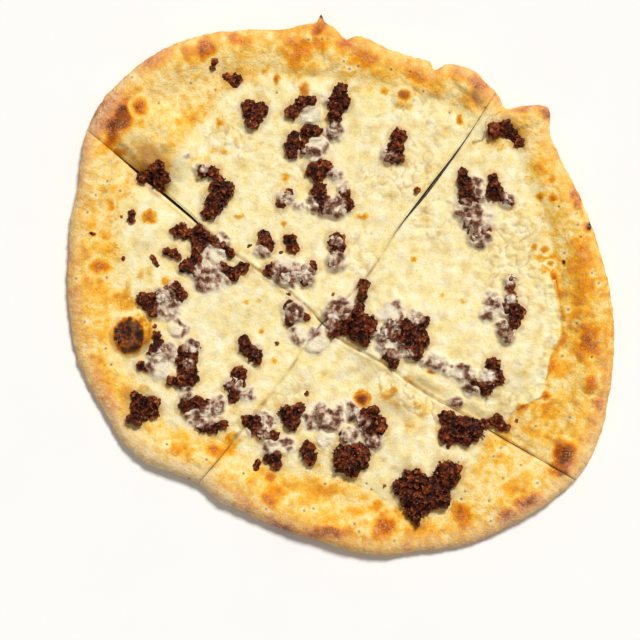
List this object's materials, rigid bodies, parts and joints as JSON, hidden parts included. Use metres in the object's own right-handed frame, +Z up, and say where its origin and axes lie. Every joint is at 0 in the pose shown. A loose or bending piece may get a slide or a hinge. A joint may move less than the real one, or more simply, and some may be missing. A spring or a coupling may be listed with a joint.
{
  "type": "filled flatbread",
  "caption": "Round hand-stretched flatbread with a browned puffed rim, melted cheese and crumbled spiced sausage, cut into slices that still lie together.",
  "frame": {"origin": "middle of the underside of the whole bread", "axes": "+Z up from the underside; +X along the longer way across, towards the slice between the two right-hand cuts; +Y away from the viewer, up in the picture"},
  "size_m": [0.2896, 0.2826, 0.0205],
  "materials": {
    "bread": "baked wheat dough, pale gold with browned patches, dusted with flour at the sides",
    "cheese": "melted white cheese, creamy, softly glossy, with small golden blisters",
    "sujuk": "crumbled dark spiced sausage, craggy, slightly oily"
  },
  "bodies": {
    "root": {"bread_bottom": "bread", "bread_left": "bread", "bread_right": "bread", "bread_top": "bread", "cheese_bottom": "cheese", "cheese_left": "cheese", "cheese_right": "cheese", "cheese_top": "cheese", "sujuk_bottom_boulder": "sujuk", "sujuk_bottom_crescent": "sujuk", "sujuk_bottom_heart": "sujuk", "sujuk_bottom_low": "sujuk", "sujuk_bottom_lump": "sujuk", "sujuk_bottom_marble": "sujuk", "sujuk_bottom_slab": "sujuk", "sujuk_bottom_thread": "sujuk", "sujuk_bottom_west": "sujuk", "sujuk_centre_main": "sujuk", "sujuk_centre_shade": "sujuk", "sujuk_left_bar": "sujuk", "sujuk_left_chain": "sujuk", "sujuk_left_crumble": "sujuk", "sujuk_left_elbow": "sujuk", "sujuk_left_foot": "sujuk", "sujuk_left_knot": "sujuk", "sujuk_left_nugget": "sujuk", "sujuk_left_pair": "sujuk", "sujuk_left_pebble": "sujuk", "sujuk_left_raft": "sujuk", "sujuk_left_seed": "sujuk", "sujuk_left_speck": "sujuk", "sujuk_left_spine": "sujuk", "sujuk_left_twig": "sujuk", "sujuk_left_wedge": "sujuk", "sujuk_right_claw": "sujuk", "sujuk_right_corner": "sujuk", "sujuk_right_flank": "sujuk", "sujuk_right_haze": "sujuk", "sujuk_right_island": "sujuk", "sujuk_right_mound": "sujuk", "sujuk_right_post": "sujuk", "sujuk_right_shoulder": "sujuk", "sujuk_right_spur": "sujuk", "sujuk_right_toe": "sujuk", "sujuk_top_arc": "sujuk", "sujuk_top_bead": "sujuk", "sujuk_top_block": "sujuk", "sujuk_top_bun": "sujuk", "sujuk_top_button": "sujuk", "sujuk_top_chip": "sujuk", "sujuk_top_cut_knob": "sujuk", "sujuk_top_dusk": "sujuk", "sujuk_top_heel": "sujuk", "sujuk_top_hook": "sujuk", "sujuk_top_lone": "sujuk", "sujuk_top_pea": "sujuk", "sujuk_top_pillar": "sujuk", "sujuk_top_ridge": "sujuk", "sujuk_top_smear": "sujuk", "sujuk_top_trefoil": "sujuk"}
  },
  "joints": []
}
